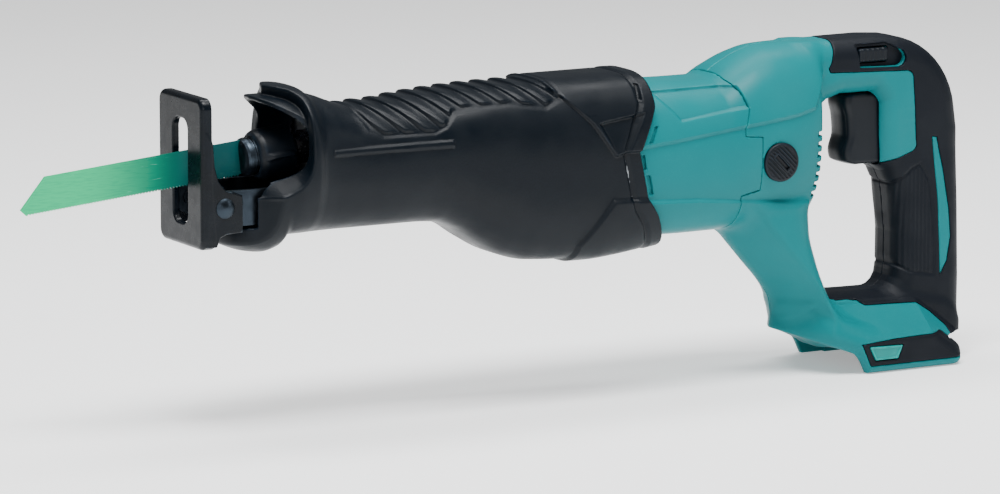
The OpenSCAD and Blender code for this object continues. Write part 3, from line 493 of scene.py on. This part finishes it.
def scoop_front(a):
    """How far forward the scoop under the mouth reaches, in plan."""
    return curve(a, (0, 20.6), (12, 23.2), (20, 29.0), (26, 36.2), (33, 42.8), (40, 49))


def cover_outer(x, y, z):
    """The cover's outside, before its details."""
    a = np.abs(y)
    f = loft(x, y, z, COVER)
    # the rim's front edge leans back from the crown to the sides and sweeps forward to the chin
    turn = np.degrees(np.arctan2(z - 10, a + 0.01))
    f = smooth_max(f, curve(turn, *RIM) - x, 2.0)
    bowl = smooth_max(loft(x, y, z, BOWL), x - 56, 1)
    bowl = smooth_max(bowl, z + 14.8, 0.8)
    f = smooth_min(f, bowl, 1.6)
    low = smooth_max(f, scoop_front(a) - x, 1.4)
    under = step(-z, 13.2, 16.4)
    return f * (1 - under) + low * under


def visor(x, y, z):
    """Thin peak that hangs over the mouth."""
    a = np.abs(y)
    sheet = mouth_shape(x, y, z)
    sheet = np.abs(sheet - 1.3) - 1.2
    reach = curve(a, (0, 40.9), (8, 42.4), (16, 46.6), (23, 52.5), (28, 59), (34, 66))
    f = round_both(sheet, reach - x, 1.0)
    return np.maximum(np.maximum(f, x - 70), 17 - z)


def cover(x, y, z):
    """Rubber cover over the gear case, open at the mouth."""
    f = cover_outer(x, y, z)
    # rolled band behind the mouth's edge
    swell = np.exp(-((x - 64.5 + 0.04 * z) / 3.4) ** 2) * step(z, -20, -4)
    f = f - 0.5 * swell * step(46 - z, 0, 10)
    # ribbed grip on top, with a bead round it
    area = polygon(x, z, GRIP_AREA)
    slant = (x + 1.05 * (z - 32) - 99) / 12.0
    wave = slant - np.floor(slant)
    rib = step(wave, 0.0, 0.30) * (1 - step(wave, 0.42, 1.0))
    depth = step(-area, 0.6, 3.2) * step(x, 92, 100)
    f = f + 0.55 * step(-area, -1.4, 0.8) - 1.5 * rib * depth
    # ridge along the side of the barrel
    ridge = polygon(x, z, [(75, 6.1), (146.5, 5.8), (146.5, 9.0), (75, 8.6)])
    f = f - 1.0 * step(-ridge, -1.0, 0.7)
    # panels at the rear: an upper one with a sunk facet, and a lower one
    upper = polygon(x, z, UPPER_PANEL)
    facet = polygon(x, z, [(236, 11.5), (245.6, -6.4), (254.6, -4.6), (265, 15.6), (238.2, 12.3)])
    lean = np.clip((z + 9) * 0.09, 0, 1.7)
    f = f - PANEL_PROUD * step(-upper, -0.6, 1.4) + lean * step(-facet, -0.6, 1.6)
    f = f - PANEL_PROUD * step(-polygon(x, z, LOWER_PANEL), -1.2, 1.8)
    # band round the rear edge
    edge = polygon(x, z, BEHIND_COVER)
    f = f + 0.9 * np.exp(-((edge - 9.5) / 1.1) ** 2) - 0.5 * step(8.2 - edge, 0, 1.4)
    slit = polygon(x, z, [(262.6, 22), (264.4, 22), (266.2, 30), (264.4, 30)])
    f = f + 1.2 * step(-slit, -0.4, 0.4)
    inner = np.maximum(loft(x, y, z, COVER) + 3, 80.6 - x)
    pocket = np.minimum(box(x, y, z, (-20, -23.4, -31.6), (60, 23.4, -8), 1.0),
                        box(x, y, z, (40, -22, -31.6), (82, 22, -8), 1.0))
    f = smooth_max(f, -smooth_max(mouth_shape(x, y, z), x - 81, 3), 1.6)
    f = smooth_max(f, -pocket, 1.0)
    f = np.maximum(f, -inner)
    f = smooth_max(f, -edge, 0.8)
    f = smooth_min(f, visor(x, y, z), 1.2)
    hole = np.sqrt((x - BUTTON[0]) ** 2 + (z - BUTTON[1]) ** 2) - BUTTON_HOLE_R
    return np.maximum(f, -np.maximum(hole, 20 - y))


# ---------------------------------------------------------------- small pieces

def trigger_shape(x, y, z):
    """Finger trigger: hollowed front, rounded nose and a lip at the bottom."""
    a = np.abs(y)
    face = curve(z, (-29.4, 415.5), (-26.5, 411), (-22, 410.2), (-12, 412.6), (-2, 411.8), (6, 410),
                 (10, 411), (11.6, 414.5))
    front = face + 3.4 * (a / 11) ** 3
    f = round_both(box(x, y, z, (405, -11.0, -29.2), (436, 11.0, 11.4), 2.4), front - x, 2.2)
    grooves = 0.35 * np.exp(-((a - 7.2) / 0.8) ** 2) * step(-z, -6, 2) * step(z, -26, -20)
    return f + grooves


def lock_shape(x, y, z):
    """Lock bar across the handle, with ribs on its ends."""
    end = box(x, y, z, (416.9, -16.3, 29.7), (436.1, 13.3, 37.5), 1.5)
    middle = 426.5
    rib = np.cos((x - middle) * 2 * math.pi / 3.4)
    proud = np.maximum(-y - 15.4, y - 12.4)
    return end + 0.5 * step(proud, -0.2, 0.5) * step(9.2 - np.abs(x - middle), 0, 1.6) * (0.5 - 0.5 * rib)


def cap_shape(side):
    """Brush cap: low dome with slanted ribs and a coin slot."""
    def field(x, y, z):
        a = side * y
        u, v = x - CAP[0], z - CAP[1]
        r = np.sqrt(u * u + v * v)
        crown = 38.2 - 0.9 * (r / CAP_R) ** 2
        f = round_both(r - CAP_R, a - crown, 1.0)
        slant = (u + v) / math.sqrt(2)
        apart = 1.9
        rib = np.abs(slant / apart - np.round(slant / apart)) * apart
        groove = 0.55 * (1 - step(rib, 0.25, 0.6)) * step(a, 36.6, 37) * step(CAP_R - 1.6 - r, 0, 0.4)
        bar = np.maximum(np.abs(slant) - 1.2, r - 5.6)
        f = f + groove * step(bar, 0.6, 1.2)
        f = smooth_max(f, -round_both(bar, 36.2 - a, 0.3), 0.4)
        return np.maximum(f, 34.4 - a)
    return field


def along_spindle(x, z):
    """Coordinates along and above the tilted spindle."""
    return x * SPINDLE[0] + z * SPINDLE[1], z * SPINDLE[0] - x * SPINDLE[1]


def collar_shape(x, y, z):
    """Sleeve that a finger turns to free the blade: round-nosed, with a slim rib on each side."""
    u, w = along_spindle(x, z)
    r = np.sqrt(y * y + w * w)
    skin = r - curve(u, (41.8, 9.8), (42.6, 11.4), (44.2, 12.8), (47, 13.7), (64, 13.7))
    f = smooth_max(skin, np.abs(u - 52.7) - 10.8, 0.8)
    rib = box(u, np.abs(y), w, (45.5, 9, -1.5), (62.4, 15.2, 1.5), 1.3)
    rib = smooth_max(rib, np.abs(y) - 13.2 - (u - 45) * 0.5, 0.8)
    f = smooth_min(f, rib, 1.4)
    bore = curve(u, (44.6, 10.7), (45.4, 12.3))
    return np.maximum(f, bore - r)


def nose_shape(x, y, z):
    """Domed ring round the blade, in front of the sleeve."""
    u, w = along_spindle(x, z)
    r = np.sqrt(y * y + w * w)
    size = 10.2
    f = smooth_max(np.sqrt((u - 48) ** 2 + (r * 0.72) ** 2) - size, r - size, 1.2)
    f = smooth_max(f, u - 41.6, 0.3)
    slot = np.maximum(np.abs(y) - 1.0, np.abs(w + 1) - 9)
    return smooth_max(f, -slot, 0.5)


def rounded_slab(u, v, half_u, low_v, high_v, r):
    """Outline of a flat slab with round corners, centred on u = 0."""
    mid, half_v = (low_v + high_v) / 2, (high_v - low_v) / 2
    p, q = np.abs(u) - half_u + r, np.abs(v - mid) - half_v + r
    return np.minimum(np.maximum(p, q), 0) + np.sqrt(np.maximum(p, 0) ** 2 + np.maximum(q, 0) ** 2) - r


def shoe_shape(x, y, z):
    """Guide shoe: a pressed plate with turned-back edges, a slot, and two lugs at the rear."""
    a = np.abs(y)
    outline = rounded_slab(y, z, 26.5, -41, 40.5, 6)
    slot = rounded_slab(y, z, 8.7, -28.7, 27.7, 6)
    edge_x = 6.4 + 2.0 * step(z, -6, -40)
    f = round_both(round_both(outline, x - edge_x, 1.0), -x, 2.6)
    f = smooth_max(f, -np.maximum(outline + 3.4, 4.2 - x), 1.0)
    f = smooth_max(f, -slot, 1.2)
    # lug: a gusset that grows out of the side edge, round the pivot and back to the edge
    gusset = [(3, 22), (6.6, 16), (7.4, 4), (9.6, -4), (14, -9.4), (20, -11.2), (23.6, -12.6), (24.4, -22),
              (23.6, -32), (14.5, -32.4), (10.6, -34), (8.6, -39), (3, -39)]
    lug = round_both(polygon(x, z, gusset) - 0.4, np.abs(a - 24.2) - 2.25, 0.8)
    f = smooth_min(f, lug, 0.8)
    hole = np.sqrt((x - PIVOT[0]) ** 2 + (z - PIVOT[1]) ** 2) - PIVOT_HOLE_R
    return np.maximum(f, -np.maximum(hole, 18 - a))


def badge_shape(side):
    """Blank plate on the base, with a raised border."""
    def field(x, y, z):
        a = side * y
        d = polygon(x, z, BADGE) + 0.25
        f = round_both(d, a - 39.9, 0.5)
        f = f + 0.45 * step(-d, 1.0, 1.5) * step(a, 39, 39.4)
        return np.maximum(f, 38.2 - a)
    return field


# ---------------------------------------------------------------- materials

def colour(r, g, b):
    """Linear colour from red, green and blue on the screen's scale of 0 to 255."""
    linear = [c / 255 / 12.92 if c <= 10 else ((c / 255 + 0.055) / 1.055) ** 2.4 for c in (r, g, b)]
    return tuple(linear) + (1.0,)


class Look:
    """Builds one material's nodes. Sizes are millimetres on the object."""

    def __init__(self, name):
        self.material = bpy.data.materials.new(name)
        self.material.use_nodes = True
        self.tree = self.material.node_tree
        self.shader = self.tree.nodes["Principled BSDF"]
        self.place = self.node("ShaderNodeTexCoord").outputs["Object"]
        self.height = None

    def node(self, kind, **settings):
        made_node = self.tree.nodes.new(kind)
        for key, value in settings.items():
            setattr(made_node, key, value)
        return made_node

    def put(self, socket, value):
        if hasattr(value, "is_linked"):
            self.tree.links.new(value, socket)
        else:
            socket.default_value = value

    def noise(self, size, detail=2.0, stretch=(1, 1, 1)):
        place = self.node("ShaderNodeMapping")
        self.put(place.inputs["Vector"], self.place)
        place.inputs["Scale"].default_value = [1000 / size / s for s in stretch]
        texture = self.node("ShaderNodeTexNoise")
        self.put(texture.inputs["Vector"], place.outputs["Vector"])
        texture.inputs["Scale"].default_value = 1
        texture.inputs["Detail"].default_value = detail
        return texture.outputs["Fac"]

    def math(self, what, a, b=0.0):
        step_node = self.node("ShaderNodeMath", operation=what)
        self.put(step_node.inputs[0], a)
        self.put(step_node.inputs[1], b)
        return step_node.outputs[0]

    def ramp(self, value, low, high, out_low=0.0, out_high=1.0):
        r = self.node("ShaderNodeMapRange", interpolation_type="SMOOTHSTEP")
        for socket, v in zip(r.inputs[:5], (value, low, high, out_low, out_high)):
            self.put(socket, v)
        return r.outputs[0]

    def mix(self, amount, a, b):
        m = self.node("ShaderNodeMix", data_type="RGBA")
        self.put(m.inputs[0], amount)
        self.put(m.inputs[6], a)
        self.put(m.inputs[7], b)
        return m.outputs[2]

    def along(self, axis, low, high):
        split = self.node("ShaderNodeSeparateXYZ")
        self.put(split.inputs[0], self.place)
        return self.ramp(split.outputs[axis], low * MM, high * MM)

    def edge(self):
        return self.node("ShaderNodeAttribute", attribute_name="edge").outputs["Fac"]

    def relief(self, value, depth):
        """Adds a height, in millimetres, to the surface."""
        scaled = self.math("MULTIPLY", value, depth)
        self.height = scaled if self.height is None else self.math("ADD", self.height, scaled)

    def finish(self, base, rough, metal=0.0, coat=0.0, specular=0.5):
        shader = self.shader.inputs
        self.put(shader["Base Color"], base)
        self.put(shader["Roughness"], rough)
        shader["Metallic"].default_value = metal
        shader["Coat Weight"].default_value = coat
        shader["Coat Roughness"].default_value = 0.2
        shader["Specular IOR Level"].default_value = specular
        if self.height is not None:
            bump = self.node("ShaderNodeBump")
            bump.inputs["Distance"].default_value = MM
            self.put(bump.inputs["Height"], self.height)
            self.put(shader["Normal"], bump.outputs["Normal"])
        return self.material


def plastic(name, base, worn, drift_and_crevice_shade, rough=(0.36, 0.5), grain=0.55, depth=0.05, specular=0.5):
    """Moulded plastic or rubber: spark grain, slow colour drift, rubbed edges, painted shade darkening the
    corners and creases.
    """
    look = Look(name)
    drift = look.ramp(look.noise(38, 3), 0.3, 0.7)
    tint = look.mix(look.math("MULTIPLY", drift, 0.16), base, drift_and_crevice_shade)
    edge = look.edge()
    patchy = look.noise(7, 4)
    touched = look.math("MULTIPLY", edge, look.ramp(patchy, 0.25, 0.75, 0.2, 1.0))
    rub = look.ramp(touched, 0.4, 1.6, 0.0, 0.4)
    tint = look.mix(rub, tint, worn)
    # painted shade: corners and creases, where the bend is below zero, are darkened toward the third colour
    crevice_shade = look.ramp(look.math("MULTIPLY", edge, -1.0), 0.15, 1.0, 0.0, 0.45)
    tint = look.mix(crevice_shade, tint, drift_and_crevice_shade)
    speck = look.ramp(look.noise(0.9, 1), 0.62, 0.74, 0.0, 0.10)
    tint = look.mix(speck, tint, worn)
    gloss = look.ramp(look.noise(16, 3), 0.3, 0.7, *rough)
    gloss = look.math("SUBTRACT", gloss, look.math("MULTIPLY", rub, 0.08))
    look.relief(look.noise(grain, 2), depth)
    look.relief(look.noise(24, 2), depth * 1.6)
    return look.finish(tint, gloss, specular=specular)


def metal(name, base, dark, rough, lay=(1, 1, 1), grain=0.8, depth=0.01, metallic=1.0):
    """Machined or pressed metal: directional lay, fine scratches, stains."""
    look = Look(name)
    stain = look.ramp(look.noise(11, 4), 0.35, 0.75)
    lines = look.noise(grain, 3, stretch=lay)
    tint = look.mix(look.math("MULTIPLY", stain, 0.5), base, dark)
    tint = look.mix(look.ramp(lines, 0.55, 0.8, 0.0, 0.3), tint, dark)
    scratch = look.ramp(look.noise(2.2, 5, stretch=(9, 1, 1)), 0.66, 0.7)
    gloss = look.ramp(look.noise(6, 3), 0.3, 0.7, rough * 0.8, rough * 1.3)
    gloss = look.math("ADD", gloss, look.math("MULTIPLY", scratch, 0.12))
    look.relief(lines, depth)
    return look.finish(tint, gloss, metal=metallic)


def blade_paint():
    """Coated blade: mint at the tip, deeper towards the shank, with grinding lines and scuffs."""
    look = Look("blade_paint")
    base = look.mix(look.along(0, -62, 12), colour(0, 176, 116), colour(0, 72, 74))
    lines = look.noise(0.5, 3, stretch=(14, 1, 1))
    base = look.mix(look.ramp(lines, 0.45, 0.7, 0.0, 0.25), base, colour(0, 84, 74))
    scuff = look.ramp(look.noise(1.2, 5, stretch=(9, 1, 1)), 0.66, 0.74, 0.0, 0.16)
    base = look.mix(scuff, base, colour(150, 240, 210))
    look.relief(lines, 0.012)
    gloss = look.ramp(look.noise(5, 3), 0.3, 0.7, 0.28, 0.42)
    return look.finish(base, gloss, specular=0.1)


def enamel():
    """Black paint on the pressed shoe, rubbed to bare steel at its edges."""
    look = Look("black_enamel")
    edge = look.edge()
    patchy = look.noise(4, 5)
    touched = look.math("MULTIPLY", edge, look.ramp(patchy, 0.35, 0.7, 0.1, 1.0))
    rub = look.ramp(touched, 0.7, 1.4, 0.0, 0.55)
    base = look.mix(look.ramp(look.noise(20, 3), 0.3, 0.7), colour(3, 7, 12), colour(7, 13, 20))
    base = look.mix(rub, base, colour(46, 56, 64))
    gloss = look.ramp(look.noise(8, 4), 0.3, 0.75, 0.22, 0.38)
    look.relief(look.noise(1.6, 2), 0.03)
    look.relief(look.ramp(look.noise(2.6, 5, stretch=(1, 1, 8)), 0.66, 0.7), -0.012)
    return look.finish(base, gloss, coat=0.03, specular=0.15)


TEAL = plastic("teal_shell", colour(0, 106, 110), colour(0, 138, 138), colour(0, 84, 90),
               rough=(0.34, 0.44), specular=0.13)
RUBBER = plastic("black_rubber_cover", colour(2, 9, 17), colour(12, 27, 40), colour(1, 5, 10),
                 rough=(0.34, 0.46), grain=0.7, depth=0.06, specular=0.17)
SOFT = plastic("soft_grip_rubber", colour(3, 9, 18), colour(12, 24, 38), colour(2, 5, 11),
               rough=(0.5, 0.62), grain=0.45, depth=0.07, specular=0.17)
BLACK = plastic("black_nylon", colour(5, 12, 20), colour(20, 36, 50), colour(3, 7, 12), rough=(0.36, 0.5),
                grain=0.5, specular=0.22)
BADGE_TEAL = plastic("badge_teal", colour(0, 124, 120), colour(30, 170, 160), colour(0, 96, 94),
                     rough=(0.3, 0.4), specular=0.2)
LEAD = plastic("red_lead_sleeve", colour(150, 26, 22), colour(190, 80, 70), colour(90, 16, 14),
               rough=(0.4, 0.5))
BOARD = plastic("board_green", colour(18, 74, 48), colour(60, 120, 90), colour(10, 44, 30), rough=(0.3, 0.4))
ENAMEL = enamel()
PAINT = blade_paint()
ALLOY = metal("cast_alloy", colour(150, 154, 158), colour(104, 108, 112), 0.42, grain=1.4, depth=0.06)
STEEL = metal("machined_steel", colour(172, 174, 178), colour(120, 122, 126), 0.26, lay=(1, 12, 12),
              grain=0.3)
BEARING = metal("bearing_steel", colour(200, 202, 206), colour(150, 152, 156), 0.14, lay=(10, 1, 1),
                grain=0.3, depth=0.004)
DARK = metal("dark_steel", colour(52, 60, 68), colour(26, 32, 38), 0.36, grain=0.9, depth=0.03)
BRONZE = metal("sintered_bronze", colour(176, 128, 74), colour(120, 82, 44), 0.38, grain=0.5, depth=0.03)
COPPER = metal("enamelled_copper", colour(176, 92, 48), colour(108, 48, 24), 0.28, lay=(14, 1, 1),
               grain=0.6, depth=0.08)
LAMINATION = metal("stacked_laminations", colour(112, 114, 120), colour(66, 68, 74), 0.42, lay=(1, 40, 40),
                   grain=0.5, depth=0.05)
FERRITE = metal("ferrite", colour(58, 58, 62), colour(38, 38, 42), 0.55, grain=1.2, depth=0.05, metallic=0.2)
CARBON = metal("carbon", colour(44, 44, 46), colour(28, 28, 30), 0.5, grain=0.6, depth=0.03, metallic=0.3)
SPRING = metal("spring_steel", colour(156, 158, 164), colour(98, 100, 106), 0.22, grain=0.6)
BRASS = metal("brass_contact", colour(202, 168, 92), colour(150, 116, 54), 0.24, grain=0.6)

FINISHES = {
    "black_rubber": RUBBER, "soft_grip": SOFT, "teal_plastic": TEAL, "black_plastic": BLACK,
    "teal_badge": BADGE_TEAL, "gloss_black_steel": ENAMEL, "gear_case_alloy": ALLOY,
    "machined_steel": STEEL, "bearing_steel": BEARING, "dark_steel": DARK, "blade_coat": PAINT,
    "bronze": BRONZE, "copper": COPPER, "lamination_steel": LAMINATION, "ferrite": FERRITE,
    "carbon": CARBON, "spring_steel": SPRING, "brass_contact": BRASS, "red_wire": LEAD,
    "circuit_board": BOARD,
}


# ---------------------------------------------------------------- pieces

moulded("rubber_cover", cover, (16, -42, -69), (291, 42, 45), "body", RUBBER, ["gear_cover"])
moulded("motor_shell", motor_front, (248, -42, -62), (346, 42, 38), "body", TEAL,
        ["motor_housing"])
for side, name, low, high in ((-1, "left", -42, 1), (1, "right", -1, 42)):
    moulded(f"rear_shell_{name}", handle_half(side), (316, low, -147), (493, high, 46),
            "body", TEAL, [f"handle_{name}"])
    moulded(f"soft_grip_{name}", grip_half(side), (378, low, -144), (493, high, 46),
            "body", SOFT, [f"grip_{name}"])
    moulded(f"brush_cover_{name}", cap_shape(side), (340, 33 * side - 6, -33), (367, 33 * side + 6, -5),
            "body", BLACK, [f"brush_cap_{name}"], FINE)
    moulded(f"nameplate_{name}", badge_shape(side), (408, 37 * side - 4, -139), (436, 37 * side + 4, -126),
            "body", BADGE_TEAL, [f"badge_{name}"], FINE)
moulded("finger_trigger", trigger_shape, (404, -12, -31), (438, 12, 13), "trigger", BLACK,
        ["trigger"], FINE)
moulded("lock_slide", lock_shape, (415, -18, 28), (438, 15, 39), "lock_bar", BLACK,
        ["lock_bar"], FINE)
moulded("clamp_collar", collar_shape, (37, -17, -14), (68, 17, 22), "clamp_sleeve", BLACK,
        ["clamp_sleeve"], FINE)
moulded("clamp_nose", nose_shape, (34, -13, -10), (46, 13, 18), "slider", DARK,
        ["clamp_ring"], FINE)
moulded("guide_shoe", shoe_shape, (-2, -29, -43), (24, 29, 43), "shoe", ENAMEL,
        ["shoe"], FINE)

for node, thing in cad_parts.items():
    for place in thing.material_slots:
        wanted = FINISHES.get(place.material.name.split(".")[0]) if place.material else None
        if wanted:
            place.material = DARK if node in ("shoe_rivets", "shoe_bracket", "clamp_body") else wanted


# ---------------------------------------------------------------- stage, lights and camera

TURN, RISE = math.radians(-29), math.radians(10)
RIGHT = Vector((math.cos(TURN), math.sin(TURN), 0))
UP = Vector((-math.sin(TURN) * math.sin(RISE), math.cos(TURN) * math.sin(RISE), math.cos(RISE)))
BACK = Vector((math.sin(TURN) * math.cos(RISE), -math.cos(TURN) * math.cos(RISE), math.sin(RISE)))
DISTANCE = 3193.8 * MM
FLOOR_Z = -144.4 * MM
FLOOR_SIZE = 12.0
FLOOR_GLOW = 0.4
WORLD_LIGHT = 0.2
WHITE = (1, 1, 1, 1)
AIM = RIGHT * 0.17033 - UP * 0.04152                # the point that the middle of the view looks at


def flat(name, size, z, material):
    """A level grid, square, with its middle above the origin."""
    mesh = bpy.data.meshes.new(name)
    n = 24
    points = [((i / n - 0.5) * size, (j / n - 0.5) * size, z) for j in range(n + 1) for i in range(n + 1)]
    faces = [(j * (n + 1) + i, j * (n + 1) + i + 1, (j + 1) * (n + 1) + i + 1, (j + 1) * (n + 1) + i)
             for j in range(n) for i in range(n)]
    mesh.from_pydata(points, [], faces)
    thing = bpy.data.objects.new(name, mesh)
    bpy.context.scene.collection.objects.link(thing)
    mesh.materials.append(material)


paper = Look("studio_floor")
paper.relief(paper.noise(3, 3), 0.02)
pale = paper.mix(paper.noise(400, 2), colour(240, 241, 242), colour(246, 247, 247))
paper.shader.inputs["Emission Color"].default_value = WHITE
paper.shader.inputs["Emission Strength"].default_value = FLOOR_GLOW
flat("floor", FLOOR_SIZE, FLOOR_Z, paper.finish(pale, 0.7, specular=0.2))


def lamp(name, where, at, size, power):
    """A soft rectangular light that faces a point."""
    data = bpy.data.lights.new(name, "AREA")
    data.shape = "RECTANGLE"
    data.size, data.size_y = size
    data.energy = power
    thing = bpy.data.objects.new(name, data)
    thing.location = where
    thing.rotation_euler = (Vector(at) - Vector(where)).to_track_quat("-Z", "Y").to_euler()
    bpy.context.scene.collection.objects.link(thing)


middle = (0.2, 0, -0.02)
lamp("key_soft", (0.1, -0.55, 1.7), middle, (1.5, 0.7), 72)
lamp("top_strip", (0.3, 0.5, 1.5), middle, (1.9, 0.5), 26)
lamp("camera_fill", (-1.1, -1.7, 0.5), middle, (1.2, 0.8), 9)
lamp("rear_soft", (1.5, -1.2, 0.7), middle, (0.5, 1.1), 5)

world = bpy.data.worlds.new("studio")
world.use_nodes = True
sky = world.node_tree.nodes["Background"].inputs
sky["Color"].default_value = WHITE
sky["Strength"].default_value = WORLD_LIGHT
bpy.context.scene.world = world

lens = bpy.data.cameras.new("camera")
lens.lens = 216
lens.sensor_width = 36
lens.clip_end = 50
camera = bpy.data.objects.new("camera", lens)
camera.matrix_world = Matrix((RIGHT, UP, BACK)).transposed().to_4x4()
camera.location = AIM + BACK * DISTANCE
bpy.context.scene.collection.objects.link(camera)
bpy.context.scene.camera = camera

bpy.context.view_layer.update()
